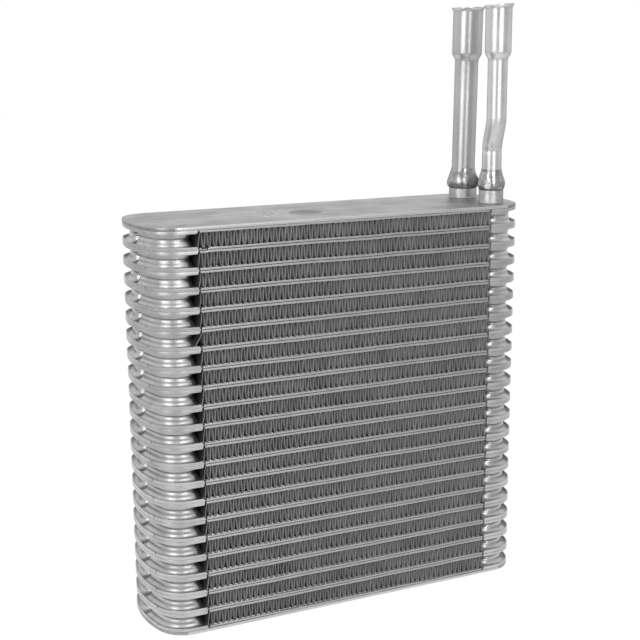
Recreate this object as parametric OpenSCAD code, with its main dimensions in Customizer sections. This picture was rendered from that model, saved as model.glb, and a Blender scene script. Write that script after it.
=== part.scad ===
// Plate and fin evaporator core of a vehicle air conditioner.
// Stamped half plates are brazed in pairs into flat tubes. The cups at their ends
// stack up into header tanks, and folded fins fill the rows between the tubes.
// +X runs along the tubes towards the pipes, +Y to the back, +Z up.
// The origin is the middle of the underside, on which the core rests.

/* [Core] */
// Number of flat tubes, each a brazed pair of half plates
tube_count = 20; // [2:1:24]
// Height from one tube to the next
tube_pitch = 12; // [10:0.5:16]
// Height of a tube where the fins lie on it
tube_h = 3; // [2.6:0.1:4]
// Length of the finned stretch
fin_len = 203; // [120:1:280]
// Depth of the plates from front to back
core_depth = 76; // [70:1:90]
// How far the plates reach past the finned stretch at each end
end_len = 31; // [28:0.5:36]
// Corner radius of the plates
corner_r = 20; // [16:0.5:24]
// How far the end of a plate bows out between its corners
end_bow = 2; // [1:0.5:3]
// Thickness of the two end plates
end_plate_t = 2; // [1:0.1:3]

/* [Stamped plates] */
// Sheet thickness of the half plates
sheet_t = 0.6; // [0.5:0.05:0.8]
// Thickness of the braze film between two half plates
braze_t = 0.04; // [0.02:0.01:0.1]
// Height of the turned lip round the cups, for each half plate
end_lip_h = 2.2; // [1.3:0.1:2.4]
// Height of the seam groove that two lips leave along the fins
groove_h = 0.7; // [0.3:0.1:0.8]
// Depth of that seam groove
groove_d = 0.35; // [0.2:0.05:0.4]
// Width of the relief slot between the lip along the fins and the lip round the cups
slot_w = 1.2; // [0.6:0.1:2]
// How far past the finned stretch the relief slot ends and the lip round the cups starts
end_lip_from = 0.2; // [0.1:0.1:1]
// How deep the relief slot goes into the brazing flange
slot_d = 1.6; // [1:0.1:2]
// Width of the locating notch in the upper lip at one corner
notch_w = 0.9; // [0.5:0.1:1.5]
// Depth of that notch below the free edge of the lip
notch_d = 1.4; // [0.5:0.1:1.8]
// Place of that notch on its corner, from the end of the plate
notch_angle = 11.5; // [0:0.5:60]
// Width of the brazing flange in front of and behind the flow channels
flange_w = 2.6; // [2:0.1:4]
// Width of the rib that parts the front channel from the back one
rib_w = 3; // [2:0.1:5]
// Corner radius of the flow channels
channel_r = 4; // [2:0.5:6]
// Width of the long stiffening rib in the middle of each channel, pressed down to the seam
stiff_rib_w = 2.4; // [1.6:0.1:3]
// Distance from the end of a channel to the end of its stiffening rib
stiff_rib_end = 14; // [8:1:24]

/* [Cups] */
// Distance from the long edge of a plate to the cup wall
cup_inset = 5.5; // [4:0.1:7]
// Distance from the bowed end of a plate to the cup wall
cup_end_inset = 4.6; // [4:0.1:7]
// Gap between the cups and the finned stretch
cup_fin_gap = 2; // [1:0.1:5]
// Gap between the front cup and the back cup of one end
cup_split = 3; // [2:0.1:5]
// Corner radius of the cups away from the corners of the plate
cup_r = 7; // [5:0.5:8]
// Step that stands for the rounded edge of a cup where it meets the next one
cup_edge = 0.7; // [0.3:0.1:1]
// Diameter of the port in the roof of a cup
port_d = 14; // [8:0.5:15]
// Width of the passage between the two cups of the end away from the pipes
crossover_w = 9; // [4:0.5:10]

/* [Fins] */
// Folds of one fin, each with one crest up and one crest down
fin_folds = 55; // [20:1:60]
// Thickness of the fin strip
fin_t = 0.15; // [0.1:0.01:0.25]
// How far the fins stay back from the lips
fin_back = 0.8; // [0.8:0.1:2]

/* [Top plate] */
// Diameter of the blank round boss over the cup away from the pipes
boss_d = 26; // [12:1:30]
// Height of that boss
boss_h = 0.4; // [0.2:0.1:0.8]
// Width of the rim that stands on the boss
boss_rim_w = 2.5; // [1:0.1:4]
// Diameter of the shallow dish in the middle
dish_d = 22; // [10:1:28]
// Depth of the dish
dish_depth = 0.5; // [0.2:0.1:0.8]
// Distance of the dish from the middle towards the cups away from the pipes
dish_x = 18.5; // [0:0.5:60]
// Distance of the dish from the middle towards the front
dish_y = 8; // [0:0.5:20]

/* [Ports] */
// How far the ports lie past the finned stretch
port_from_fins = 12.6; // [12.5:0.1:15]
// How far the ports lie from the middle of their cups towards the long edges
port_out = 0.8; // [0:0.1:1.5]
// Diameter of the spigot under the back ferrule
rear_spigot_d = 17; // [16.4:0.1:18]
// Diameter of the back ferrule
rear_ferrule_d = 19.1; // [18.1:0.1:20]
// Height of the back ferrule above the end plate
rear_ferrule_h = 6.5; // [4:0.1:10]
// Diameter of the spigot under the front ferrule
front_spigot_d = 14; // [13.4:0.1:15]
// Diameter of the front ferrule
front_ferrule_d = 16.4; // [15.1:0.1:17.4]
// Height of the front ferrule above the end plate
front_ferrule_h = 8.5; // [4:0.1:10]
// Clearance between a pipe and its ferrule, at the radius
pipe_clear = 0.05; // [0.02:0.01:0.1]
// Clearance between a spigot and its hole in the end plate, at the radius
spigot_clear = 0.05; // [0.02:0.01:0.1]

/* [Weld beads] */
// Height of a weld bead above its ferrule
bead_h = 13.5; // [8:0.5:16]
// Widest diameter of the back bead
rear_bead_d = 22.2; // [19.5:0.1:23]
// Widest diameter of the front bead
front_bead_d = 18; // [17.4:0.1:19]
// Height of the widest place of a bead above its ferrule
bead_wide_at = 3.5; // [2:0.1:5]
// How far a bead still stands out from the pipe where it ends
bead_tip = 0.4; // [0.2:0.1:0.8]

/* [Pipes] */
// Wall of both pipes
pipe_wall = 1.2; // [0.8:0.1:1.8]
// Diameter of the back pipe
rear_pipe_d = 15.9; // [12:0.1:16]
// Height of the back pipe above the end plate
rear_pipe_h = 127.5; // [100:0.5:160]
// Lean of the back pipe to the right above its bead
rear_lean = 1; // [0.5:0.1:3]
// Diameter of the front pipe
front_pipe_d = 13; // [10:0.1:13]
// Height of the front pipe above the end plate
front_pipe_h = 128.5; // [105:0.5:160]
// Height above the end plate at which the double bend of the front pipe starts
jog_from = 33.5; // [26:0.5:50]
// Angle of each bend of the front pipe
jog_angle = 16; // [4:0.5:24]
// Bend radius of the middle line of the pipes
bend_r = 30; // [24:1:60]
// Straight length between the two bends of the front pipe
jog_straight = 8; // [2:0.5:14]

/* [Sockets] */
// Length of the straight wall of a socket
socket_len = 30; // [15:0.5:40]
// Length of the taper from pipe to socket
taper_len = 5.3; // [3:0.1:8]
// Clearance round the line that a socket takes, at the radius
socket_clear = 0.15; // [0.05:0.01:0.3]
// Wall of a socket
socket_wall = 2; // [1:0.05:2.5]
// How far the lip of a socket stands out
socket_lip = 1.1; // [0.5:0.1:2]
// Thickness of that lip
socket_lip_t = 0.8; // [0.6:0.1:2]

/* [Hidden] */
$fn = 64;
// Facets of the large arcs and of the shallow dish
large_fn = 256;
// Facets of a quarter of the side of a weld bead
bead_steps = 6;
// Overshoot of a cut past the face it opens
eps = 0.1;
half_l = fin_len / 2 + end_len;
half_d = core_depth / 2;
half_tube = tube_h / 2;
half_pitch = tube_pitch / 2;
fin_h = tube_pitch - tube_h;
// Seams of the lowest and of the highest half plate
bottom_seam = end_plate_t;
top_seam = bottom_seam + (tube_count + 1) * tube_pitch;
core_h = top_seam + end_plate_t;
// The bowed end is an arc that runs into the corner arcs
corner_y = half_d - corner_r;
bow_r = (corner_y * corner_y + end_bow * end_bow) / (2 * end_bow);
bow_x = half_l - bow_r;
corner_x = bow_x + sqrt(pow(bow_r - corner_r, 2) - pow(corner_y, 2));
bow_angle = atan2(corner_y, corner_x - bow_x);
// Distances from the middle of a plate to the two sides of a relief slot
slot_x1 = fin_len / 2 + end_lip_from;
slot_x0 = slot_x1 - slot_w;
// The box that holds one cup of an end
cup_x0 = fin_len / 2 + cup_fin_gap;
cup_x1 = half_l - cup_end_inset;
cup_y0 = cup_split / 2;
cup_y1 = half_d - cup_inset;
channel_y0 = rib_w / 2;
channel_y1 = half_d - flange_w;
port_x = fin_len / 2 + port_from_fins;
port_y = (cup_y0 + cup_y1) / 2 + port_out;
dish_ball_r = (dish_d * dish_d / 4 + dish_depth * dish_depth) / (2 * dish_depth);
fold_pitch = fin_len / fin_folds;
// Height of the strip, cut upright through a sloping wall
fold_t = fin_t * fin_h / (fold_pitch / 2 + fin_t);
alu = "silver";

function numbered(stem, i) = str(stem, i < 10 ? "0" : "", i);

// Plan of a plate, taken in by a distance all round
module plate_plan(inset) {
    side = half_d - inset;
    tip = [
        bow_x + (bow_r - inset) * cos(bow_angle),
        (bow_r - inset) * sin(bow_angle)
    ];
    for (side_x = [0, 1]) mirror([side_x, 0]) {
        for (s = [-1, 1]) translate([corner_x, s * corner_y]) circle(corner_r - inset);
        polygon([
            [0, -side], [corner_x, -side], [corner_x, -corner_y], [tip[0], -tip[1]],
            [tip[0], tip[1]], [corner_x, corner_y], [corner_x, side], [0, side]
        ]);
        intersection() {
            translate([bow_x, 0]) circle(bow_r - inset, $fn = large_fn);
            translate([tip[0], -tip[1]]) square([half_l - tip[0], 2 * tip[1]]);
        }
    }
}

// Rectangle with rounded corners from one corner point to the other
module round_box(x0, y0, x1, y1, r) {
    for (x = [x0 + r, x1 - r], y = [y0 + r, y1 - r]) translate([x, y]) circle(r);
    translate([x0 + r, y0]) square([x1 - x0 - 2 * r, y1 - y0]);
    translate([x0, y0 + r]) square([x1 - x0, y1 - y0 - 2 * r]);
}

// Plan of the back cup at the pipe end, taken in by a distance all round
module cup_plan(inset) {
    intersection() {
        translate([cup_inset - cup_end_inset, 0]) plate_plan(cup_inset + inset);
        round_box(cup_x0 + inset, cup_y0 + inset, cup_x1 - inset, cup_y1 - inset, cup_r - inset);
    }
}

// The same plan at all four places of a plate
module at_four_cups() {
    for (mx = [0, 1], my = [0, 1]) mirror([mx, 0]) mirror([0, my]) children();
}

// Plan of the necks that lead from one flow channel into its cups, taken in by a distance
module neck_plan(inset) {
    neck_x = cup_x0 + cup_r;
    neck_y = cup_y0 + cup_r + inset;
    translate([-neck_x, neck_y]) square([2 * neck_x, cup_y1 - cup_r - inset - neck_y]);
}

// Plan of the outside of one flow channel
module channel_plan() {
    round_box(-fin_len / 2, channel_y0, fin_len / 2, channel_y1, channel_r);
    neck_plan(0);
}

// Plan of the room inside one flow channel
module flow_plan() {
    channel_l = fin_len - 2 * channel_r;
    translate([-channel_l / 2, channel_y0 + sheet_t])
        square([channel_l, channel_y1 - channel_y0 - 2 * sheet_t]);
    neck_plan(sheet_t);
}

// Passage between the two cups away from the pipes
module crossover_plan(inset) {
    translate([-(cup_x0 + cup_x1) / 2 - crossover_w / 2 + inset, -cup_y0 - cup_r])
        square([crossover_w - 2 * inset, 2 * (cup_y0 + cup_r)]);
}

// Plan of the stiffening rib of one channel, grown by a distance
module rib_plan(grow) {
    r = stiff_rib_w / 2 + grow;
    reach = fin_len / 2 - stiff_rib_end - stiff_rib_w / 2;
    translate([0, (channel_y0 + channel_y1) / 2]) {
        for (s = [-1, 1]) translate([s * reach, 0]) circle(r);
        square([2 * reach, 2 * r], center = true);
    }
}

// One stamped half plate with its cups upwards. The middle of the seam is at z = 0,
// and the braze film keeps the sheet off it. The notch is left out where it isn't wanted
module half_plate(notched) {
    roof_in = half_tube - sheet_t;
    difference() {
        union() {
            linear_extrude(sheet_t) plate_plan(groove_d);
            end_lip();
            fin_lip();
            for (my = [0, 1]) mirror([0, my, 0]) linear_extrude(half_tube) channel_plan();
            linear_extrude(half_tube) crossover_plan(0);
            at_four_cups() {
                linear_extrude(half_pitch - cup_edge) cup_plan(0);
                linear_extrude(half_pitch) cup_plan(cup_edge);
            }
        }
        for (my = [0, 1]) mirror([0, my, 0]) translate([0, 0, -eps]) linear_extrude(roof_in + eps)
            difference() {
                flow_plan();
                rib_plan(sheet_t);
            }
        for (my = [0, 1]) mirror([0, my, 0]) translate([0, 0, sheet_t]) linear_extrude(half_tube)
            rib_plan(0);
        translate([0, 0, -eps]) linear_extrude(roof_in + eps) crossover_plan(sheet_t);
        at_four_cups() {
            translate([0, 0, -eps]) linear_extrude(half_pitch - sheet_t + eps) cup_plan(sheet_t + cup_edge);
            translate([port_x, port_y, 0]) cylinder(d = port_d, h = half_pitch + eps);
        }
        relief_slots();
        if (notched) locating_notch();
        translate([0, 0, braze_t / 2 - tube_pitch / 2])
            cube([2 * half_l + 2 * eps, core_depth + 2 * eps, tube_pitch], center = true);
    }
}

// The turned lip round the cups of both ends
module end_lip() {
    linear_extrude(end_lip_h) difference() {
        plate_plan(0);
        plate_plan(sheet_t);
        square([2 * slot_x1, 2 * core_depth], center = true);
    }
}

// The turned lip along the front and the back of the fins
module fin_lip() {
    for (s = [-1, 1]) translate([0, s * (half_d - sheet_t / 2), (groove_h + tube_h) / 4])
        cube([2 * slot_x0, sheet_t, (tube_h - groove_h) / 2], center = true);
}

// Slots that part the two lips
module relief_slots() {
    for (sx = [-1, 1], sy = [-1, 1])
        translate([sx * (slot_x0 + slot_x1) / 2, sy * half_d, half_tube])
            cube([slot_w, 2 * slot_d, tube_pitch], center = true);
}

// Nick in the lip at the front corner away from the pipes
module locating_notch() {
    translate([-corner_x, -corner_y, end_lip_h - notch_d]) rotate(180 + notch_angle)
        translate([corner_r - 2 * sheet_t, -notch_w / 2, 0]) cube([4 * sheet_t, notch_w, tube_pitch]);
}

// A flat tube: two half plates with their flat flanges together. The upper one has the notch
module tube() {
    half_plate(true);
    mirror([0, 0, 1]) half_plate(false);
}

// Points of the upper side of the folded strip when up is true, or of its lower side
function strip_side(up) = [
    for (j = [0 : 2 * fin_folds]) let (high = (j % 2 == 1), outer = (high == up))
        [j * fold_pitch / 2, (high ? 1 : -1) * (outer ? fin_h / 2 : fin_h / 2 - fold_t)]
];

// One folded fin, which fills a row between two tubes
module folded_fin() {
    upper = strip_side(true);
    lower = strip_side(false);
    lower_back = [for (i = [len(lower) - 1 : -1 : 0]) lower[i]];
    translate([-fin_len / 2, half_d - fin_back, 0]) rotate([90, 0, 0])
        linear_extrude(core_depth - 2 * fin_back) polygon(concat(upper, lower_back));
}

// Ring with a spigot that holds a pipe on the end plate
module ferrule(d, h, spigot_d, pipe_d) {
    difference() {
        union() {
            cylinder(d = d, h = h);
            translate([0, 0, -end_plate_t]) cylinder(d = spigot_d, h = end_plate_t + h);
        }
        translate([0, 0, -end_plate_t - eps])
            cylinder(r = pipe_d / 2 + pipe_clear, h = end_plate_t + h + 2 * eps);
    }
}

// Weld bead that swells over the ferrule and runs out on the pipe
module weld_bead(wide_d, foot_d, pipe_d) {
    foot_r = foot_d / 2;
    wide_r = wide_d / 2;
    pipe_r = pipe_d / 2;
    tip_r = pipe_r + bead_tip;
    upper_h = bead_h - bead_wide_at;
    lower_side = [for (i = [0 : bead_steps]) let (a = 90 * i / bead_steps)
        [foot_r + (wide_r - foot_r) * sin(a), bead_wide_at * (1 - cos(a))]];
    upper_side = [for (i = [1 : bead_steps]) let (a = 180 * i / bead_steps)
        [tip_r + (wide_r - tip_r) * (1 + cos(a)) / 2, bead_wide_at + upper_h * i / bead_steps]];
    rotate_extrude() polygon(concat([[pipe_r, 0]], lower_side, upper_side, [[pipe_r, bead_h]]));
}

// Section of a pipe
module pipe_ring(d) {
    difference() {
        circle(d = d);
        circle(d = d - 2 * pipe_wall);
    }
}

// Straight stretch of a pipe, then what follows it
module straight(d, length) {
    linear_extrude(length) pipe_ring(d);
    translate([0, 0, length]) children();
}

// Bend of a pipe towards +X, then what follows it
module bend(d, angle) {
    translate([bend_r, 0, 0]) rotate([90, 0, 180]) rotate_extrude(angle = angle)
        translate([bend_r, 0]) pipe_ring(d);
    translate([bend_r * (1 - cos(angle)), 0, bend_r * sin(angle)]) rotate([0, angle, 0]) children();
}

// Taper, socket and lip at the end of a pipe
module socket(d) {
    bore_r = d / 2 + socket_clear;
    wall_r = bore_r + socket_wall;
    lip_r = wall_r + socket_lip;
    top = taper_len + socket_len;
    rotate_extrude() polygon([
        [d / 2 - pipe_wall, 0], [d / 2, 0], [wall_r, taper_len], [wall_r, top - 2 * socket_lip_t],
        [lip_r, top - socket_lip_t], [lip_r, top], [bore_r, top], [bore_r, taper_len]
    ]);
}

module rear_pipe() {
    straight_h = rear_pipe_h - rear_ferrule_h - bead_h - bend_r * sin(rear_lean) - socket_len - taper_len;
    color(alu) translate([port_x, port_y, top_seam])
        straight(rear_pipe_d, end_plate_t + rear_ferrule_h + bead_h)
            bend(rear_pipe_d, rear_lean)
                straight(rear_pipe_d, straight_h)
                    socket(rear_pipe_d);
}

// The front pipe has a double bend towards the front
module front_pipe() {
    straight_h = front_pipe_h - jog_from - 2 * bend_r * sin(jog_angle) - jog_straight * cos(jog_angle)
        - socket_len - taper_len;
    color(alu) translate([port_x, -port_y, top_seam])
        straight(front_pipe_d, end_plate_t + jog_from)
            rotate(-90) bend(front_pipe_d, jog_angle)
                straight(front_pipe_d, jog_straight)
                    rotate(180) bend(front_pipe_d, jog_angle)
                        straight(front_pipe_d, straight_h)
                            socket(front_pipe_d);
}

module top_end_plate() {
    color(alu) translate([0, 0, top_seam]) difference() {
        union() {
            linear_extrude(end_plate_t) plate_plan(0);
            translate([-port_x, -port_y, end_plate_t]) difference() {
                cylinder(d = boss_d, h = boss_h);
                translate([0, 0, boss_h / 2]) cylinder(d = boss_d - 2 * boss_rim_w, h = boss_h);
            }
        }
        translate([port_x, port_y, -eps])
            cylinder(r = rear_spigot_d / 2 + spigot_clear, h = end_plate_t + 2 * eps);
        translate([port_x, -port_y, -eps])
            cylinder(r = front_spigot_d / 2 + spigot_clear, h = end_plate_t + 2 * eps);
        translate([-dish_x, -dish_y, end_plate_t - dish_depth + dish_ball_r])
            sphere(dish_ball_r, $fn = large_fn);
    }
}

module bottom_end_plate() {
    color(alu) linear_extrude(end_plate_t) plate_plan(0);
}

module top_half_plate() {
    color(alu) translate([0, 0, top_seam]) mirror([0, 0, 1]) half_plate(true);
}

module bottom_half_plate() {
    color(alu) translate([0, 0, bottom_seam]) half_plate(true);
}

// Tubes and fins are numbered from the top
module tube_at(i) {
    color("gainsboro") translate([0, 0, top_seam - i * tube_pitch]) tube();
}

module fin_at(i) {
    color("gray") translate([0, 0, top_seam - (i - 0.5) * tube_pitch]) folded_fin();
}

module rear_ferrule() {
    color(alu) translate([port_x, port_y, core_h])
        ferrule(rear_ferrule_d, rear_ferrule_h, rear_spigot_d, rear_pipe_d);
}

module front_ferrule() {
    color(alu) translate([port_x, -port_y, core_h])
        ferrule(front_ferrule_d, front_ferrule_h, front_spigot_d, front_pipe_d);
}

module rear_weld_bead() {
    color("lightgray") translate([port_x, port_y, core_h + rear_ferrule_h])
        weld_bead(rear_bead_d, rear_ferrule_d, rear_pipe_d);
}

module front_weld_bead() {
    color("lightgray") translate([port_x, -port_y, core_h + front_ferrule_h])
        weld_bead(front_bead_d, front_ferrule_d, front_pipe_d);
}

top_end_plate();
bottom_end_plate();
top_half_plate();
bottom_half_plate();
for (i = [1 : tube_count]) tube_at(i);
for (i = [1 : tube_count + 1]) fin_at(i);
rear_ferrule();
front_ferrule();
rear_weld_bead();
front_weld_bead();
rear_pipe();
front_pipe();
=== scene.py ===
# Looks of a plate and fin evaporator core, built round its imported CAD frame.
# Lengths are in millimetres until a mesh is made, and +Z is up.
import math

import bmesh
import bpy
import numpy as np
from mathutils import Matrix, Vector, noise
from mathutils.geometry import tessellate_polygon

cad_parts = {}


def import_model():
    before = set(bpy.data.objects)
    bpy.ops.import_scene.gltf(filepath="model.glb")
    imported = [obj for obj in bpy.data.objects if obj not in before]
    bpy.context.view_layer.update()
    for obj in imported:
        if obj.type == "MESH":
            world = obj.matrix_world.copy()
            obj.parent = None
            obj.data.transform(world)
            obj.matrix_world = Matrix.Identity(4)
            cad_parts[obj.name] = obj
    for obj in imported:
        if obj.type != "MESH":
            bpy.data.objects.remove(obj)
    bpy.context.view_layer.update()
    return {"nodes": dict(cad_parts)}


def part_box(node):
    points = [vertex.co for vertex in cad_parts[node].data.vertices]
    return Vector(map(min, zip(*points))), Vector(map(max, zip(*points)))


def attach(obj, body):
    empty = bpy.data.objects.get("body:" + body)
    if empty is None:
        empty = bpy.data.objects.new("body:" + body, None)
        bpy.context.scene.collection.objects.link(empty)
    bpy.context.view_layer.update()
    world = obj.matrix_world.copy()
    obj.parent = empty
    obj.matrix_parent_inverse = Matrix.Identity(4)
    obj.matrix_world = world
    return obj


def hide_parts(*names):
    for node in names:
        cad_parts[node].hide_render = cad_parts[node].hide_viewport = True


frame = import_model()

MM = 0.001


def box_mm(node):
    """The lowest and highest corner of a CAD node, in millimetres."""
    return tuple(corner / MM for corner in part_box(node))


# Sizes that the frame gives
tube_names = sorted(n for n in frame["nodes"] if n.startswith("tube_"))
fin_names = sorted(n for n in frame["nodes"] if n.startswith("fin_"))
_, plate_high = box_mm("bottom_end_plate")
fin_low, fin_high = box_mm(fin_names[0])
top_tube_low, top_tube_high = box_mm(tube_names[0])
HALF_L = plate_high.x
HALF_D = plate_high.y
END_PLATE_T = plate_high.z
FIN_HALF = fin_high.x
FIN_FRONT = fin_high.y
FIN_H = fin_high.z - fin_low.z
PITCH = top_tube_high.z - top_tube_low.z
HALF_TUBE = (PITCH - FIN_H) / 2
HALF_PITCH = PITCH / 2
BOTTOM_SEAM = END_PLATE_T
TOP_SEAM = BOTTOM_SEAM + PITCH * len(fin_names)
CORE_H = TOP_SEAM + END_PLATE_T

# Sizes of the stampings, as in the CAD source
SHEET_T = 0.6
CORNER_R = 20.0
END_BOW = 2.0
BRAZE_HALF = 0.02
END_LIP_H = 2.2
SLOT_W = 1.2
END_LIP_FROM = 0.2
SLOT_D = 1.6
NOTCH_W = 0.9
NOTCH_D = 1.4
NOTCH_ANGLE = 15.6
FLANGE_W = 2.6
RIB_W = 3.0
CHANNEL_R = 4.0
CUP_INSET = 5.5
CUP_END_INSET = 4.6
CUP_FIN_GAP = 2.0
CUP_SPLIT = 3.0
CUP_R = 7.0
PORT_R = 7.0
PORT_FROM_FINS = 12.6
PORT_OUT = 0.8

# Outline of a plate: the bowed ends are arcs that run into the corner arcs
CORNER_Y = HALF_D - CORNER_R
BOW_R = (CORNER_Y**2 + END_BOW**2) / (2 * END_BOW)
BOW_X = HALF_L - BOW_R
CORNER_X = BOW_X + math.sqrt((BOW_R - CORNER_R) ** 2 - CORNER_Y**2)
BOW_ANGLE = math.degrees(math.atan2(CORNER_Y, CORNER_X - BOW_X))
CUP_X0 = FIN_HALF + CUP_FIN_GAP
CUP_X1 = HALF_L - CUP_END_INSET
CUP_Y0 = CUP_SPLIT / 2
CUP_Y1 = HALF_D - CUP_INSET
SLOT_X1 = FIN_HALF + END_LIP_FROM
SLOT_X0 = SLOT_X1 - SLOT_W
PORT_X = FIN_HALF + PORT_FROM_FINS
PORT_Y = (CUP_Y0 + CUP_Y1) / 2 + PORT_OUT


# Mesh tools


class Shell:
    """Points and faces of one piece, in millimetres."""

    def __init__(self):
        self.points = []
        self.faces = []

    def ring(self, points):
        start = len(self.points)
        self.points.extend(tuple(p) for p in points)
        return list(range(start, start + len(points)))

    def bridge(self, a, b, closed=True):
        count = len(a)
        for i in range(count if closed else count - 1):
            j = (i + 1) % count
            self.faces.append((a[i], a[j], b[j], b[i]))

    def loft(self, rings):
        ids = [self.ring(r) for r in rings]
        for a, b in zip(ids, ids[1:]):
            self.bridge(a, b)
        return ids

    def fill(self, *loops):
        """A flat face inside the first loop and outside the others."""
        corners = [[Vector(self.points[i]) for i in loop] for loop in loops]
        ids = [i for loop in loops for i in loop]
        self.faces.extend(tuple(ids[k] for k in t) for t in tessellate_polygon(corners))

    def add(self, other, change=lambda p: p):
        start = len(self.points)
        self.points.extend(change(p) for p in other.points)
        self.faces.extend(tuple(i + start for i in face) for face in other.faces)


def make_piece(name, shell, material, nodes, sharp_deg=38):
    """Turns a shell into an object that stands for its CAD nodes."""
    mesh = bpy.data.meshes.new(name)
    mesh.from_pydata([Vector(p) * MM for p in shell.points], [], shell.faces)
    work = bmesh.new()
    work.from_mesh(mesh)
    bmesh.ops.recalc_face_normals(work, faces=work.faces)
    work.to_mesh(mesh)
    work.free()
    mesh.shade_smooth()
    mesh.set_sharp_from_angle(angle=math.radians(sharp_deg))
    mesh.materials.append(material)
    piece = bpy.data.objects.new(name, mesh)
    bpy.context.scene.collection.objects.link(piece)
    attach(piece, "root")
    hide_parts(*nodes)


def ripple(x, y, z, size):
    """Smooth noise from about -1 to 1 whose waves are about size long."""
    return 2 * noise.noise(Vector((x / size, y / size, z / size)))


def circle_points(cx, cy, r, z, count=48):
    turns = [2 * math.pi * k / count for k in range(count)]
    return [(cx + r * math.cos(a), cy + r * math.sin(a), z) for a in turns]


# Outline of a plate, as stations: (centre, outward direction, radius, kind of lip)

# Distances from a relief slot at which a lip has stations. From the last one on it has its full height.
RAMP = (0.0, 0.04, 0.14, 0.36, 0.7)
# The sharpest dent of a lip has stations of its own, at its middle and on both sides
DENT_X = -97.4
DENT_SIDE = 1.9
FIN_STEPS = 34
END_ARC_STEPS = 10


def side_stations(x_values, kind):
    """Stations on the front side."""
    return [((x, 0.0), (0.0, -1.0), HALF_D, kind) for x in x_values]


def arc_stations(centre, radius, from_deg, to_deg):
    """Stations of an arc at the end of a plate, without its last point."""
    steps = [i / END_ARC_STEPS for i in range(END_ARC_STEPS)]
    angles = [math.radians(from_deg + (to_deg - from_deg) * step) for step in steps]
    return [(centre, (math.cos(a), math.sin(a)), radius, "end") for a in angles]


def half_outline():
    """Stations along the front side and round the end at +X."""
    inner = SLOT_X0 - RAMP[-1]
    fin_x = [-SLOT_X0 + r for r in RAMP]
    fin_x += [-inner + 2 * inner * i / FIN_STEPS for i in range(1, FIN_STEPS)]
    fin_x += [SLOT_X0 - r for r in reversed(RAMP)]
    fin_x = sorted(fin_x + [DENT_X - DENT_SIDE, DENT_X, DENT_X + DENT_SIDE])
    end_x = [SLOT_X1 + r for r in RAMP]
    middle_x = (end_x[-1] + CORNER_X) / 2
    nudge = 0.01
    slot_x = [SLOT_X0 + nudge, SLOT_X1 - nudge]
    stations = side_stations([-x for x in reversed(end_x)], "end")
    stations += side_stations([-x for x in reversed(slot_x)], "slot")
    stations += side_stations(fin_x, "fin")
    stations += side_stations(slot_x, "slot")
    stations += side_stations(end_x + [middle_x], "end")
    stations += arc_stations((CORNER_X, -CORNER_Y), CORNER_R, -90, -BOW_ANGLE)
    stations += arc_stations((BOW_X, 0.0), BOW_R, -BOW_ANGLE, BOW_ANGLE)
    stations += arc_stations((CORNER_X, CORNER_Y), CORNER_R, BOW_ANGLE, 90)
    return stations + [((x, 0.0), (0.0, 1.0), HALF_D, "end") for x in (CORNER_X, middle_x)]


def turned(station):
    """The same station half a turn round the middle of the plate."""
    (cx, cy), (ux, uy), radius, kind = station
    return ((-cx, -cy), (-ux, -uy), radius, kind)


def with_notch(stations):
    """Adds the nick near the front corner away from the pipes, between two stations of the bow."""
    half = math.degrees(NOTCH_W / 2 / BOW_R)
    outer = half + 0.02
    middle = 180 + NOTCH_ANGLE
    notch = []
    for offset, kind in ((-outer, "end"), (-half, "notch"), (half, "notch"), (outer, "end")):
        a = math.radians(middle + offset)
        notch.append(((-BOW_X, 0.0), (math.cos(a), math.sin(a)), BOW_R, kind))

    def before(station):
        centre, (ux, uy), radius, _ = station
        on_left_bow = radius == BOW_R and centre[0] < 0
        return on_left_bow and math.degrees(math.atan2(uy, ux)) % 360 < middle

    first = next(i for i, s in enumerate(stations) if before(s))
    after = next(i for i in range(first, len(stations)) if not before(stations[i]))
    return stations[:after] + notch + stations[after:]


def whole_outline(notched=True):
    half = half_outline()
    stations = half + [turned(s) for s in half]
    return with_notch(stations) if notched else stations


def place(station, inset):
    """The point at a depth behind the outline."""
    (cx, cy), (ux, uy), radius, _ = station
    return cx + ux * (radius - inset), cy + uy * (radius - inset)


# Stampings

# Height of each kind of lip, how far its free edge leans in, and the radius of its bend
LIPS = {
    "fin": (HALF_TUBE, 0.1, 0.8),
    "end": (END_LIP_H, 0.02, 0.3),
    "notch": (END_LIP_H - NOTCH_D, 0.02, 0.3),
    "slot": (SHEET_T, 0.0, 0.3),
}
LIP_INNER_R = 0.3
# The rounded free edge of a lip: (distance inwards, distance below the top)
LIP_TIP = ((SHEET_T, 0.1), (0.52, 0.02), (0.3, 0.0), (0.1, 0.04), (0.0, 0.16))


def lip_profile(kind, rise):
    """(inset, height) round the edge of a half plate, from its flange over the lip to its underside."""
    height, lean, bend_r = LIPS[kind]
    base = SHEET_T + LIP_INNER_R
    lowest_top = base + 0.06
    top = lowest_top + (max(height, lowest_top) - lowest_top) * rise
    points = [(base, SHEET_T), (base - LIP_INNER_R * 0.7, SHEET_T + LIP_INNER_R * 0.3), (SHEET_T, base)]
    points += [(inwards + lean, top - down) for inwards, down in LIP_TIP]
    for a in (0, 30, 60, 90):
        turn = math.radians(a)
        points.append((bend_r * (1 - math.cos(turn)), BRAZE_HALF + bend_r * (1 - math.sin(turn))))
    points.append((base + 0.2, BRAZE_HALF))
    if kind == "slot":
        points = [(SLOT_D, min(max(z, BRAZE_HALF), SHEET_T)) for _, z in points]
    return points


def rise_of(station):
    """How far the lip is up: it rounds off towards the relief slots."""
    (cx, _), _, radius, kind = station
    if radius != HALF_D:
        return 1.0
    reach = RAMP[-1]
    from_slot = {"fin": SLOT_X0 - abs(cx), "end": abs(cx) - SLOT_X1, "slot": reach}[kind]
    return math.sqrt(max(0.0, 1 - (1 - min(from_slot, reach) / reach) ** 2))


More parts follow.
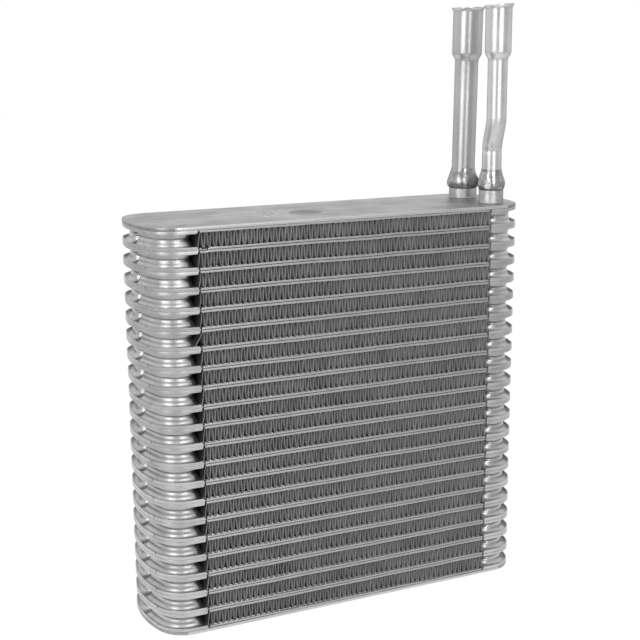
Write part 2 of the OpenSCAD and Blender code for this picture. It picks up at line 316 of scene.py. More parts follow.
def plate_with_lip(notched):
    """The flat sheet of a half plate with its turned lip."""
    shell = Shell()
    stations = whole_outline(notched)
    profiles = [lip_profile(s[3], rise_of(s)) for s in stations]
    rings = []
    for k in range(len(profiles[0])):
        rings.append([(*place(s, p[k][0]), p[k][1]) for s, p in zip(stations, profiles)])
    ids = shell.loft(rings)
    shell.fill(ids[0])
    shell.fill(ids[-1])
    return shell


def plate_depth(x, y):
    """Distance of a point from the edge of a plate, in one quarter of it."""
    if math.degrees(math.atan2(y, x - BOW_X)) < BOW_ANGLE:
        return BOW_R - math.hypot(x - BOW_X, y)
    if x > CORNER_X:
        return CORNER_R - math.hypot(x - CORNER_X, y - CORNER_Y)
    return HALF_D - y


def round_box_depth(x, y, x0, y0, x1, y1, r):
    """Distance of a point from the edge of a rectangle with rounded corners."""
    qx = abs(x - (x0 + x1) / 2) - (x1 - x0) / 2 + r
    qy = abs(y - (y0 + y1) / 2) - (y1 - y0) / 2 + r
    return r - math.hypot(max(qx, 0), max(qy, 0)) - min(max(qx, qy), 0)


# At its foot a cup reaches further towards the fins than at its joint, with tighter corners
CUP_RAMP = 1.5
CUP_FOOT_R = 4.0


def cup_depth(x, y, foot):
    """Distance of a point from the wall of the back cup at +X.

    The value foot is 1 at the flange and 0 at the joint.
    """
    corner = CUP_R + (CUP_FOOT_R - CUP_R) * foot
    box = round_box_depth(x, y, CUP_X0 - CUP_RAMP * foot, CUP_Y0, CUP_X1, CUP_Y1, corner)
    plate = plate_depth(x - CUP_INSET + CUP_END_INSET, y)
    return min(plate - CUP_INSET, box)


CUP_STEPS = 48
CUP_CENTRE = ((CUP_X0 + CUP_X1) / 2, (CUP_Y0 + CUP_Y1) / 2)
RAY_LENGTH = 40.0
RAY_HALVINGS = 22


def cup_ring(inset, foot, z):
    """Outline of a cup at a depth inside its wall, found along rays from its centre."""
    points = []
    for k in range(CUP_STEPS):
        a = 2 * math.pi * k / CUP_STEPS

        def along_ray(length):
            return CUP_CENTRE[0] + length * math.cos(a), CUP_CENTRE[1] + length * math.sin(a)

        near, far = 0.0, RAY_LENGTH
        for _ in range(RAY_HALVINGS):
            middle = (near + far) / 2
            if cup_depth(*along_ray(middle), foot) > inset:
                near = middle
            else:
                far = middle
        points.append((*along_ray(near), z))
    return points


CUP_FILLET_R = 3.0
CUP_EDGE_R = 2.6
# Tilt of the rounded edge at which the braze fills the joint with the next cup
CUP_EDGE_TILT = 32
# How far the joint of two cups lies inside the outline in the CAD source
CUP_JOINT_INSET = 0.12
# Depth and half height of the groove that the braze leaves at the joint
BRAZE_IN = 0.12
BRAZE_H = 0.55


def cup_wall():
    """(inset, height) from the flange over the fillet, the wall and the rounded edge to the joint."""
    tilt = math.radians(CUP_EDGE_TILT)
    wall = CUP_JOINT_INSET - CUP_EDGE_R * (1 - math.cos(tilt)) - BRAZE_IN
    edge_z = HALF_PITCH - BRAZE_H - CUP_EDGE_R * math.sin(tilt)
    points = [(wall - CUP_FILLET_R - 0.1, SHEET_T - 0.04)]
    for a in (0, 20, 40, 60, 78, 90):
        t = math.radians(a)
        points.append((wall - CUP_FILLET_R * (1 - math.sin(t)), SHEET_T + CUP_FILLET_R * (1 - math.cos(t))))
    for i in range(5):
        t = tilt * i / 4
        points.append((wall + CUP_EDGE_R * (1 - math.cos(t)), edge_z + CUP_EDGE_R * math.sin(t)))
    points.append((CUP_JOINT_INSET - 0.04, HALF_PITCH - BRAZE_H / 2))
    points.append((CUP_JOINT_INSET, HALF_PITCH))
    return points


def cup():
    """One cup with its port, in the back quarter at +X."""
    shell = Shell()
    rings = [cup_ring(inset, (HALF_PITCH - z) / (HALF_PITCH - SHEET_T), z) for inset, z in cup_wall()]
    rings += [circle_points(PORT_X, PORT_Y, PORT_R, z, CUP_STEPS) for z in (HALF_PITCH, SHEET_T - 0.1)]
    ids = shell.loft(rings)
    shell.bridge(ids[-1], ids[0])
    return shell


# Walls of the raised channels and of the necks to the cups, from foot to top: (inset, height)
CHANNEL_WALL = ((-0.3, SHEET_T - 0.05), (0.0, 0.85), (0.1, 1.25), (0.35, 1.45), (0.7, HALF_TUBE))
NECK_WALL = ((0.0, SHEET_T - 0.05), (0.3, 1.3), (0.7, HALF_TUBE - 0.02))
NECK_REACH = 0.3


def channel_ring(inset, z):
    """Outline of the back channel, a long rectangle with rounded corners."""
    x1 = FIN_HALF - inset - CHANNEL_R
    y0, y1 = RIB_W / 2 + inset + CHANNEL_R, HALF_D - FLANGE_W - inset - CHANNEL_R
    ring = []
    for cx, cy, from_deg in ((x1, y1, 0), (-x1, y1, 90), (-x1, y0, 180), (x1, y0, 270)):
        for i in range(6):
            a = math.radians(from_deg + 18 * i)
            ring.append((cx + CHANNEL_R * math.cos(a), cy + CHANNEL_R * math.sin(a), z))
    return ring


def neck_ring(inset, z):
    x = CUP_X0 + NECK_REACH
    low, high = CUP_Y0 + CUP_R + inset, CUP_Y1 - CUP_R - inset
    return [(-x, low, z), (x, low, z), (x, high, z), (-x, high, z)]


def channel():
    """The back flow channel with its necks to the cups, as raised pads."""
    shell = Shell()
    for ring_of, wall in ((channel_ring, CHANNEL_WALL), (neck_ring, NECK_WALL)):
        ids = shell.loft([ring_of(inset, z) for inset, z in wall])
        shell.fill(ids[0])
        shell.fill(ids[-1])
    return shell


def half_plate(notched):
    """One stamping with its cups upwards and the middle of the seam at z = 0."""
    shell = plate_with_lip(notched)
    one_cup, one_channel = cup(), channel()
    for my in (1, -1):
        for mx in (1, -1):
            shell.add(one_cup, lambda p: (mx * p[0], my * p[1], p[2]))
        shell.add(one_channel, lambda p: (p[0], my * p[1], p[2]))
    return shell


# The sheet is wavy up to one depth behind its edge and flat from the other one on
WAVY_DEPTH = 1.6
FLAT_DEPTH = 4.6


def edge_weight(x, y):
    """1 on the lip and the flange, and 0 on the cups and channels."""
    away = plate_depth(abs(x), abs(y))
    return min(1.0, max(0.0, (FLAT_DEPTH - away) / (FLAT_DEPTH - WAVY_DEPTH)))


# Dents of the front lips: tube number, x, half width, rise of the upper lip and of the lower one
LIP_DENTS = (
    (1, DENT_X, 2.6, -2.2, -0.3),
    (1, -91.0, 6.0, 0.3, 0.3),
    (5, 92.5, 4.5, -0.5, -0.5),
    (6, 97.0, 4.0, 0.6, 0.6),
    (9, 40.0, 9.0, 0.3, 0.3),
    (13, -30.0, 12.0, -0.35, -0.35),
)
# How far behind the front edge a dent is felt
DENT_REACH = 4.0
# How far the sheet waves, and the lengths of its waves: up and down, finer ones on those, and in and out
SHEET_WAVE = 0.14
LONG_WAVE = 34
SHORT_WAVE = 15
EDGE_WAVE = 22
# Points further than this from the middle line of a plate lie on its long sides
LONG_SIDE_Y = 20.0


def worn(point, seam_z, number):
    """A point of a stamping where it lies in the core, with the waviness of thin sheet."""
    x, y, z = point
    weight = edge_weight(x, y)
    if weight > 0:
        seed = 7.3 * number
        upper = z > 0
        share = min(1.0, abs(z) / HALF_TUBE)
        long, short = ripple(x, y, seed, LONG_WAVE), ripple(x, y, seed + 40, SHORT_WAVE)
        z += weight * SHEET_WAVE * (long + short / 2)
        push = weight * SHEET_WAVE * ripple(x, y, seed + 80, EDGE_WAVE)
        y += math.copysign(push, y) if abs(y) > LONG_SIDE_Y else 0.0
        x += push if abs(x) > CORNER_X else 0.0
        if y < -HALF_D + DENT_REACH:
            for tube, dent_x, half_w, upper_rise, lower_rise in LIP_DENTS:
                if tube == number and abs(x - dent_x) < half_w:
                    rise = upper_rise * share if upper else lower_rise
                    z += weight * rise * (1 - abs(x - dent_x) / half_w)
    return (x, y, z + seam_z)


def stamping_pieces(material):
    upper_half, lower_half = half_plate(True), half_plate(False)
    for number, name in enumerate(tube_names, 1):
        seam = TOP_SEAM - number * PITCH
        shell = Shell()
        shell.add(upper_half, lambda p: worn(p, seam, number))
        shell.add(lower_half, lambda p: worn((p[0], p[1], -p[2]), seam, number))
        make_piece(name + "_stampings", shell, material, [name])
    for name, seam, side, number in (
        ("top_half_plate", TOP_SEAM, -1, 0),
        ("bottom_half_plate", BOTTOM_SEAM, 1, len(tube_names) + 1),
    ):
        shell = Shell()
        shell.add(upper_half, lambda p: worn((p[0], p[1], side * p[2]), seam, number))
        make_piece(name + "_stamping", shell, material, [name])


# Fins

FOLDS = 55
FIN_T = 0.15
CREST_R = 0.68
# Angles of the points round a crest
CREST_TURNS = (-82, -44, 0, 44, 82)
# Unevenness of the folds: steps of the crests, bow of the legs and where along them it lies
CREST_STEP = 0.13
LEG_BOW = 0.09
BOW_SHIFT = 1.2
# The row whose first folds, at the end away from the pipes, are bent more than the others
CRUSHED_ROW = 1
CRUSHED_LEN = 10.0
CRUSHED_BOW = 2.5
# The row whose end leg, at the same end, was bent out
BENT_ROW = 6
BENT_REACH = 1.2
BENT_OUT = 3.6


def fold_points(rng, row):
    """Middle line of a folded strip with rounded crests and slightly wavy legs, as (x, z)."""
    half_pitch = FIN_HALF / FOLDS
    half_h = FIN_H / 2 - FIN_T / 2
    last = 2 * FOLDS
    drift = 0.0
    crests = []
    for j in range(last + 1):
        drift = 0.7 * drift + rng.uniform(-CREST_STEP, CREST_STEP)
        x = -FIN_HALF + j * half_pitch + drift * min(1.0, j / 3, (last - j) / 3)
        crests.append((x, half_h if j % 2 else -half_h))
    line = [(-FIN_HALF + FIN_T, -half_h)]
    for j in range(1, last + 1):
        (x0, z0), (x1, z1) = crests[j - 1], crests[j]
        crushed = row == CRUSHED_ROW and x1 < -FIN_HALF + CRUSHED_LEN
        bow = rng.uniform(-LEG_BOW, LEG_BOW) * (CRUSHED_BOW if crushed else 1.0)
        line.append(((x0 + x1) / 2 + bow, rng.uniform(-BOW_SHIFT, BOW_SHIFT)))
        if j == last:
            line.append((FIN_HALF - FIN_T, z1))
            continue
        sign = 1 if z1 > 0 else -1
        for a in CREST_TURNS:
            t = math.radians(a)
            line.append((x1 + CREST_R * math.sin(t), z1 - sign * CREST_R * (1 - math.cos(t))))
    return line


def normals_of(line):
    """Unit vectors across a line, at each of its points."""
    normals = []
    for i in range(len(line)):
        ax, az = line[max(i - 1, 0)]
        bx, bz = line[min(i + 1, len(line) - 1)]
        length = math.hypot(bx - ax, bz - az)
        normals.append(((az - bz) / length, (bx - ax) / length))
    return normals


def bent_x(row, x, z):
    """Where a point of a strip lies after the end leg of the bent row was bent out."""
    if row != BENT_ROW or x >= -FIN_HALF + BENT_REACH:
        return x
    down = min(1.0, max(0.0, (FIN_H / 2 - z) / FIN_H))
    return x - BENT_OUT * down**1.4


# Distances behind the edge of a strip, and the share of the edge's dents that is felt there
FIN_EDGE = ((0.0, 1.0), (0.9, 0.45), (3.0, 0.0))
# How far the edge is pushed sideways in short and in long waves, and how far it is pressed in
SHORT_PUSH = 0.2
LONG_PUSH = 0.25
PRESSED_IN = 0.25


def fin_piece(row, name, material):
    """One folded strip, cut into rings that follow its folds from the front edge to the back edge."""
    middle_z = TOP_SEAM - (row - 0.5) * PITCH
    line = fold_points(np.random.default_rng(100 + row), row)
    normals = normals_of(line)
    shell = Shell()
    rings = []
    front = [(-1, away, dented) for away, dented in FIN_EDGE]
    back = [(1, away, dented) for away, dented in reversed(FIN_EDGE)]
    for side, away, dented in front + back:
        seed = 31.7 * row + (900 if side > 0 else 0)
        outer, inner = [], []
        for (x, z), (nx, nz) in zip(line, normals):
            flex = dented * (1 - (abs(z) / (FIN_H / 2)) ** 4)
            short, long = ripple(x, z * 0.5, seed, 2.6), ripple(x, z, seed + 50, 15)
            pressed = flex * PRESSED_IN * abs(ripple(x, z, seed + 90, 3.1))
            px = bent_x(row, x, z) + flex * (SHORT_PUSH * short + LONG_PUSH * long)
            py = side * (FIN_FRONT - away - pressed)
            outer.append((px + nx * FIN_T / 2, py, middle_z + z + nz * FIN_T / 2))
            inner.append((px - nx * FIN_T / 2, py, middle_z + z - nz * FIN_T / 2))
        rings.append(outer + list(reversed(inner)))
    ids = shell.loft(rings)
    count = len(line)
    for ring in (ids[0], ids[-1]):
        shell.bridge(ring[:count], ring[count:][::-1], closed=False)
    make_piece(name + "_strip", shell, material, [name], sharp_deg=50)


# End plates

# The rounded edge of a plate: (inset, height) up from its underside and (inset, depth) at its top
PLATE_FOOT = ((0.5, 0.0), (0.15, 0.06), (0.0, 0.3))
PLATE_TOP = ((0.0, 0.5), (0.12, 0.18), (0.4, 0.04), (0.9, 0.0))
BOSS_R = 13.0
BOSS_RIM_W = 2.5
BOSS_H = 0.4
BOSS_STEP_H = BOSS_H / 2
# Place, radius and depth of the dish, and the shares of its radius at which it has rings
DISH = (-18.5, -8.0, 11.0, 0.5)
DISH_SHARES = (1.12, 1.04, 0.96, 0.85, 0.7, 0.5, 0.3, 0.12)
REAR_SPIGOT_R = 8.5
FRONT_SPIGOT_R = 7.0


def dish_ring(share, top_z):
    """A ring of the dish: a bowl whose brim is a shallow slope."""
    x, y, r, depth = DISH
    down = depth * (1 - share**2) if share < 0.9 else depth * (DISH_SHARES[0] - share) * 0.9
    return circle_points(x, y, r * share, top_z - down)


def end_plate(z0, holes=(), dished=False):
    """A flat plate with softened edges, round holes and perhaps a shallow dish in its top."""
    shell = Shell()
    top_z = z0 + END_PLATE_T
    stations = [s for s in whole_outline(notched=False) if s[3] != "slot"]
    edge = [(inset, z0 + up) for inset, up in PLATE_FOOT]
    edge += [(inset, top_z - down) for inset, down in PLATE_TOP]
    ids = shell.loft([[(*place(s, inset), z) for s in stations] for inset, z in edge])
    bottoms, tops = [], []
    for x, y, r in holes:
        bottom, top = shell.loft([circle_points(x, y, r, z0), circle_points(x, y, r, top_z)])
        bottoms.append(bottom)
        tops.append(top)
    if dished:
        dish_ids = shell.loft([dish_ring(share, top_z) for share in DISH_SHARES])
        shell.fill(dish_ids[-1])
        tops.append(dish_ids[0])
    shell.fill(ids[0], *bottoms)
    shell.fill(ids[-1], *tops)
    return shell


def lathe(shell, profile, centre, z0, sides, change=lambda p: p):
    """Turns a closed (radius, height) profile about an upright line that stands on z0."""
    rings = []
    for r, z in profile:
        ring = [change(p) for p in circle_points(*centre, r, z, sides)]
        rings.append([(x, y, z0 + z) for x, y, z in ring])
    ids = shell.loft(rings)
    shell.bridge(ids[-1], ids[0])


def end_plate_pieces(material):
    holes = [(PORT_X, PORT_Y, REAR_SPIGOT_R), (PORT_X, -PORT_Y, FRONT_SPIGOT_R)]
    top = end_plate(TOP_SEAM, holes, dished=True)
    inner = BOSS_R - BOSS_RIM_W
    rim = [(BOSS_R + 0.5, -0.05), (BOSS_R, 0.1), (BOSS_R - 0.3, BOSS_H - 0.08), (BOSS_R - 0.8, BOSS_H)]
    rim += [(inner + 0.5, BOSS_H), (inner, BOSS_H - 0.12), (inner - 0.4, BOSS_STEP_H + 0.02)]
    rim += [(inner - 1.0, BOSS_STEP_H), (0.5, BOSS_STEP_H), (0.5, -0.05)]
    lathe(top, rim, (-PORT_X, -PORT_Y), CORE_H, sides=64)
    make_piece("top_end_plate_sheet", top, material, ["top_end_plate"])
    make_piece("bottom_end_plate_sheet", end_plate(0.0), material, ["bottom_end_plate"])


# Ferrules and weld beads

REAR_PIPE_R = 7.95
FRONT_PIPE_R = 6.5
# Radius and height of a ferrule above the plate
REAR_FERRULE = (9.55, 6.5)
FRONT_FERRULE = (8.2, 8.5)
BEAD_H = 13.5
# Widest radius of each bead
REAR_BEAD_R = 11.1
FRONT_BEAD_R = 9.0
# Height at which a bead is widest, and how far it stands out from the pipe at its top
BEAD_WIDE_AT = 3.6
BEAD_TIP = 0.25
BEAD_STEPS = 22
# Height of a bead's lumps, height of the fine ones on them, and how far its rings rise and fall
LUMP = 0.42
FINE_LUMP = 0.05
RING_WAVE = 0.5
# The lumps fade out over these heights at the foot and at the tip
FOOT_FADE = 2.0
TIP_FADE = 1.5


def ferrule_piece(name, centre, size, spigot_r, pipe_r, material):
    r, h = size
    inner = pipe_r + 0.05
    profile = [(inner, -END_PLATE_T), (spigot_r - 0.1, -END_PLATE_T), (spigot_r - 0.1, -0.1)]
    profile += [(r + 0.7, -0.05), (r + 0.45, 0.12), (r + 0.15, 0.35), (r, 0.8)]
    profile += [(r, h - 0.5), (r - 0.2, h - 0.15), (r - 0.6, h), (inner, h)]
    shell = Shell()
    lathe(shell, profile, centre, CORE_H, sides=56)
    make_piece(name + "_turned", shell, material, [name])


def bead_radius(z, foot_r, wide_r, tip_r):
    """Radius of a bead, which swells from its foot and then runs out in an S curve to its tip."""
    if z < BEAD_WIDE_AT:
        share = math.sqrt(max(0.0, 1 - (1 - z / BEAD_WIDE_AT) ** 2))
        return foot_r + (wide_r - foot_r) * share
    share = (z - BEAD_WIDE_AT) / (BEAD_H - BEAD_WIDE_AT)
    return tip_r + (wide_r - tip_r) * (1 + math.cos(math.pi * share)) / 2


def bead_piece(name, centre, wide_r, ferrule, pipe_r, material, seed):
    foot_r, foot_h = ferrule
    heights = [BEAD_H * i / BEAD_STEPS for i in range(BEAD_STEPS + 1)]
    profile = [(bead_radius(z, foot_r - 0.1, wide_r, pipe_r + BEAD_TIP), z) for z in heights]
    profile = [(pipe_r - 0.3, 0.1), *profile, (pipe_r - 0.3, BEAD_H)]

    def lumpy(point):
        """A point of the bead with its lumps, which are lower than the hollows between them are deep."""
        x, y, z = point
        dx, dy = x - centre[0], y - centre[1]
        r = math.hypot(dx, dy)
        if r < pipe_r:
            return point
        share = min(1.0, z / FOOT_FADE) * min(1.0, (BEAD_H - z) / TIP_FADE)
        lump = LUMP * ripple(x, y, z + seed, 6.5) + FINE_LUMP * ripple(x, y, z + seed + 30, 2.6)
        grow = 1 + (lump if lump < 0 else 0.6 * lump) * share / r
        rise = RING_WAVE * ripple(x, y, seed + 70, 9) * share
        return (centre[0] + dx * grow, centre[1] + dy * grow, z + rise)

    shell = Shell()
    lathe(shell, profile, centre, CORE_H + foot_h, sides=72, change=lumpy)
    make_piece(name + "_metal", shell, material, [name], sharp_deg=60)


# Pipes, whose last part is a wider socket with a lip

PIPE_WALL = 1.2
PIPE_STEPS = 72
PIPE_SIDES = 64
# Unevenness of a pipe's radius along it: height and length of its waves
PIPE_WAVE = (0.05, 17)
SOCKET_LEN = 30.0
TAPER_LEN = 5.3
TAPER_STEPS = 8
SOCKET_CLEAR = 0.15
SOCKET_WALL = 2.0
SOCKET_LIP = 1.1
SOCKET_LIP_T = 0.8
# The rim of a socket slants over its last part, and its high side lies in this direction, in x and y
RIM_SLANT_LEN = 5.0
RIM_SLANT_FULL = 4.0
RIM_HIGH_SIDE = (0.9, -0.43)
REAR_RIM_SLOPE = 0.03
FRONT_RIM_SLOPE = 0.07
REAR_LEAN = 1.0
BEND_R = 30.0
# The double bend of the front pipe: its angle, its straight middle, and its height above the plate
JOG_DEG = 16.0
JOG_STRAIGHT = 8.0
JOG_FROM = 33.5
# Heights of the pipes above the plate
REAR_PIPE_H = 127.5
FRONT_PIPE_H = 128.5
# Creases of the front pipe: (way along the pipe, depth, half width)
FRONT_CREASES = ((36.3, 0.28, 1.4), (39.6, -0.12, 2.2))


def pipe_stations(top, pipe_r):
    """(way along the pipe, outer radius, bore radius) from the bottom of a pipe to its lip."""
    socket_from = top - SOCKET_LEN
    taper_from = socket_from - TAPER_LEN
    low_bore = pipe_r - PIPE_WALL
    bore = pipe_r + SOCKET_CLEAR
    wall = bore + SOCKET_WALL
    lip = wall + SOCKET_LIP
    foot = top - 2 * SOCKET_LIP_T
    stations = [(taper_from * i / PIPE_STEPS, pipe_r, low_bore) for i in range(PIPE_STEPS + 1)]
    for i in range(1, TAPER_STEPS + 1):
        share = i / TAPER_STEPS
        ease = share * share * (3 - 2 * share)
        way = taper_from + TAPER_LEN * share
        stations.append((way, pipe_r + (wall - pipe_r) * ease, low_bore + (bore - low_bore) * ease))
    stations += [(way, wall, bore) for way in (socket_from + 8, socket_from + 18, foot - 1.6)]
    stations += [(foot - 0.7, wall + 0.06, bore), (foot - 0.1, wall + 0.25, bore)]
    stations += [(foot + 0.35, wall + 0.6, bore), (top - 0.9, lip - 0.18, bore)]
    stations += [(top - 0.68, lip, bore), (top - 0.4, lip, bore), (top - 0.15, lip - 0.12, bore)]
    stations += [(top - 0.03, lip - 0.4, bore + 0.05), (top, lip - 0.75, bore + 0.3)]
    return stations


class PipePath:
    """A line of straight legs and arcs: legs are (length, bend angle, bend direction)."""

    def __init__(self, start, legs):
        self.parts = []
        here = (Vector(start), Vector((0, 0, 1)), Vector((1, 0, 0)))
        for length, angle, towards in legs:
            here = self.go(length, here, None)
            if angle:
                turn_axis = here[1].cross(Vector(towards)).normalized()
                here = self.go(BEND_R * math.radians(angle), here, turn_axis)
        self.length = sum(length for length, _, _ in self.parts)

    def go(self, length, here, turn_axis):
        """Adds a leg, or an arc about a turning axis, and returns where it ends."""
        self.parts.append((length, here, turn_axis))
        return self.moved(length, here, turn_axis)

    @staticmethod
    def moved(way, here, turn_axis):
        """Position, direction and side direction after a way along a leg or an arc."""
        position, axis, side = here
        if turn_axis is None:
            return position + axis * way, axis, side
        spin = Matrix.Rotation(way / BEND_R, 3, turn_axis)
        middle = position + turn_axis.cross(axis) * BEND_R
        return middle + spin @ (position - middle), spin @ axis, spin @ side

    def at(self, way):
        for length, here, turn_axis in self.parts[:-1]:
            if way <= length + 1e-6:
                return self.moved(way, here, turn_axis)
            way -= length
        return self.moved(way, *self.parts[-1][1:])


def pipe_piece(name, path, pipe_r, material, seed, rim_slope, creases=()):

    def ring(way, r):
        middle, axis, side = path.at(way)
        other = axis.cross(side)
        r += PIPE_WAVE[0] * ripple(0, 0, way + seed, PIPE_WAVE[1])
        for crease_at, depth, half_w in creases:
            r -= depth * max(0.0, 1 - abs(way - crease_at) / half_w)
        slope = rim_slope * min(1.0, max(0.0, (way - path.length + RIM_SLANT_LEN) / RIM_SLANT_FULL))
        points = []
        for k in range(PIPE_SIDES):
            a = 2 * math.pi * k / PIPE_SIDES
            out = side * r * math.cos(a) + other * r * math.sin(a)
            rise = slope * (out.x * RIM_HIGH_SIDE[0] + out.y * RIM_HIGH_SIDE[1])
            points.append(middle + out + Vector((0, 0, rise)))
        return points

    stations = pipe_stations(path.length, pipe_r)
    rings = [ring(way, outer) for way, outer, _ in stations]
    rings += [ring(way, inner) for way, _, inner in reversed(stations)]
    shell = Shell()
    ids = shell.loft(rings)
    shell.bridge(ids[-1], ids[0])
    make_piece(name + "_tube", shell, material, [name])


def pipe_pieces(material):
    jog = math.radians(JOG_DEG)
    low_leg = REAR_FERRULE[1] + BEAD_H
    rear_h = REAR_PIPE_H - low_leg - BEND_R * math.sin(math.radians(REAR_LEAN))
    front_h = FRONT_PIPE_H - JOG_FROM - 2 * BEND_R * math.sin(jog) - JOG_STRAIGHT * math.cos(jog)
    rear_legs = [(END_PLATE_T + low_leg, REAR_LEAN, (1, 0, 0)), (rear_h, 0, None)]
    front_legs = [
        (END_PLATE_T + JOG_FROM, JOG_DEG, (0, -1, 0)), (JOG_STRAIGHT, JOG_DEG, (0, 0, 1)), (front_h, 0, None)
    ]
    rear_path = PipePath((PORT_X, PORT_Y, TOP_SEAM), rear_legs)
    front_path = PipePath((PORT_X, -PORT_Y, TOP_SEAM), front_legs)
    pipe_piece("rear_pipe", rear_path, REAR_PIPE_R, material, 3.0, REAR_RIM_SLOPE)
    pipe_piece("front_pipe", front_path, FRONT_PIPE_R, material, 9.0, FRONT_RIM_SLOPE, FRONT_CREASES)


# Materials


def grey(level):
    """A grey with a trace of blue."""
    return (level, level, level * 1.004, 1.0)


class Nodes:
    """Short calls for building the nodes of a material or of the world."""

    def __init__(self, owner):
        owner.use_nodes = True
        self.tree = owner.node_tree

    def link(self, a, b):
        self.tree.links.new(a, b)

    def put(self, value, socket):
        """Links a socket to an input, or sets the input to a value."""
        if isinstance(value, bpy.types.NodeSocket):
            self.link(value, socket)
        else:
            socket.default_value = value

    def node(self, kind, inputs=None, **settings):
        made = self.tree.nodes.new(kind)
        for key, value in settings.items():
            setattr(made, key, value)
        for key, value in (inputs or {}).items():
            self.put(value, made.inputs[key])
        return made

    def coords(self, output="Object"):
        return self.node("ShaderNodeTexCoord").outputs[output]

    def axis(self, letter):
        """The X, Y or Z of a point of the part, in metres."""
        return self.node("ShaderNodeSeparateXYZ", {0: self.coords()}).outputs[letter]

    def noise(self, size_mm, detail=3.0, stretch=(1, 1, 1)):
        scale = tuple(s / (size_mm * MM) for s in stretch)
        where = self.node("ShaderNodeMapping", {"Vector": self.coords(), "Scale": scale}).outputs[0]
        inputs = {"Vector": where, "Scale": 1.0, "Detail": detail, "Roughness": 0.55}
        return self.node("ShaderNodeTexNoise", inputs).outputs["Fac"]

    def span(self, value, low, high, to_low, to_high, **settings):
        inputs = {"Value": value, "From Min": low, "From Max": high, "To Min": to_low, "To Max": to_high}
        return self.node("ShaderNodeMapRange", inputs, **settings).outputs[0]

    def mask(self, value, at_0, at_1):
        """A straight run from 0 to 1 between two values of its input, level beyond them."""
        return self.span(value, at_0, at_1, 0.0, 1.0)

    def math(self, operation, a, b=0.0):
        return self.node("ShaderNodeMath", {0: a, 1: b}, operation=operation).outputs[0]

    def vector(self, operation, a, b):
        return self.node("ShaderNodeVectorMath", {0: a, 1: b}, operation=operation).outputs["Value"]

    def mix(self, factor, a, b):
        return self.node("ShaderNodeMix", {0: factor, 6: a, 7: b}, data_type="RGBA").outputs[2]

    def tint(self, colour, mask, strength, level):
        """Blends in a grey where a mask is up."""
        return self.mix(self.math("MULTIPLY", mask, strength), colour, grey(level))

    def bump(self, height, strength, distance_mm, before=None):
        inputs = {"Height": height, "Strength": strength, "Distance": distance_mm * MM}
        if before is not None:
            inputs["Normal"] = before
        return self.node("ShaderNodeBump", inputs).outputs[0]

    def region(self, centre_mm, radius_mm, soft=0.6):
        """1 near a point of the part, falling to 0 at a radius."""
        away = self.vector("DISTANCE", self.coords(), tuple(c * MM for c in centre_mm))
        return self.mask(away, radius_mm * MM, radius_mm * soft * MM)


class Metal(Nodes):
    """The nodes of a metal, round its shader."""

    def __init__(self, name):
        self.material = bpy.data.materials.new(name)
        super().__init__(self.material)
        self.shader = next(n for n in self.tree.nodes if n.type == "BSDF_PRINCIPLED")

    def finish(self, colour, roughness, normal, metallic=1.0, rim=1.0):
        """Sets up the shader. The rim is the tint of what the metal mirrors at a flat angle."""
        inputs = {
            "Base Color": colour, "Roughness": roughness, "Normal": normal,
            "Metallic": metallic, "Specular Tint": (rim, rim, rim, 1.0),
        }
        for key, value in inputs.items():
            self.put(value, self.shader.inputs[key])
        return self.material


def stamping_material():
    n = Metal("brazed_sheet")
    patches = n.mask(n.noise(14, 4), 0.35, 0.65)
    specks = n.mask(n.noise(1.3, 5), 0.62, 0.74)
    by_fins = n.mask(n.math("ABSOLUTE", n.axis("X")), SLOT_X1 * MM, SLOT_X0 * MM)
    colour = n.mix(patches, grey(0.43), grey(0.55))
    colour = n.tint(colour, specks, 0.35, 0.28)
    colour = n.tint(colour, by_fins, 0.75, 0.39)
    roughness = n.span(n.noise(4, 5), 0.3, 0.7, 0.33, 0.45)
    normal = n.bump(n.noise(2.2, 4), 0.3, 0.06)
    normal = n.bump(n.noise(0.5, 3), 0.25, 0.02, normal)
    return n.finish(colour, roughness, normal)


LOUVRE_PITCH = 1.1
# Louvres lie within this share of the row's height from its middle
LOUVRE_SHARE = 0.25


def fin_material():
    """Bright folds with dull front edges, louvres as slits across their legs, and painted shade on the end
    leg at -X.
    """
    n = Metal("fin_strip")
    across = n.math("MULTIPLY", n.axis("Y"), 1 / (LOUVRE_PITCH * MM))
    saw = n.math("FRACT", n.math("ADD", across, 200.0))
    rows_up = n.math("MULTIPLY", n.axis("Z"), 1 / (PITCH * MM))
    row = n.math("FRACT", n.math("ADD", rows_up, 20 - TOP_SEAM / PITCH))
    from_middle = n.math("ABSOLUTE", n.math("SUBTRACT", row, 0.5))
    in_louvres = n.mask(from_middle, LOUVRE_SHARE + 0.03, LOUVRE_SHARE)
    slit = n.math("MULTIPLY", n.mask(saw, 0.22, 0.0), in_louvres)
    patches = n.mask(n.noise(9, 4), 0.3, 0.7)
    inside = n.mask(n.math("ABSOLUTE", n.axis("Y")), (FIN_FRONT - 0.3) * MM, (FIN_FRONT - 0.9) * MM)
    # Painted shade: the end leg at -X, in the dark gap beside the cups, is painted near black behind its
    # front edge.
    end_leg_shade = n.mask(n.axis("X"), -(FIN_HALF - 2.0) * MM, -(FIN_HALF - 1.6) * MM)
    edge_colour = n.mix(patches, grey(0.30), grey(0.38))
    colour = n.mix(inside, edge_colour, n.mix(patches, grey(0.56), grey(0.66)))
    colour = n.tint(colour, slit, 0.35, 0.28)
    colour = n.mix(n.math("MULTIPLY", end_leg_shade, inside), colour, grey(0.07))
    roughness = n.span(n.noise(2.5, 4), 0.3, 0.7, 0.42, 0.58)
    normal = n.bump(n.math("MULTIPLY", saw, in_louvres), 0.5, 0.2)
    normal = n.bump(n.noise(1.1, 4), 0.25, 0.05, normal)
    return n.finish(colour, roughness, normal, metallic=0.5)


# Marks on the top end plate: (centre, radius)
SCUFFS = ((-38.0, -4.0, CORE_H), 19.0)
SPOT = ((94.5, 26.0, CORE_H), 2.6)


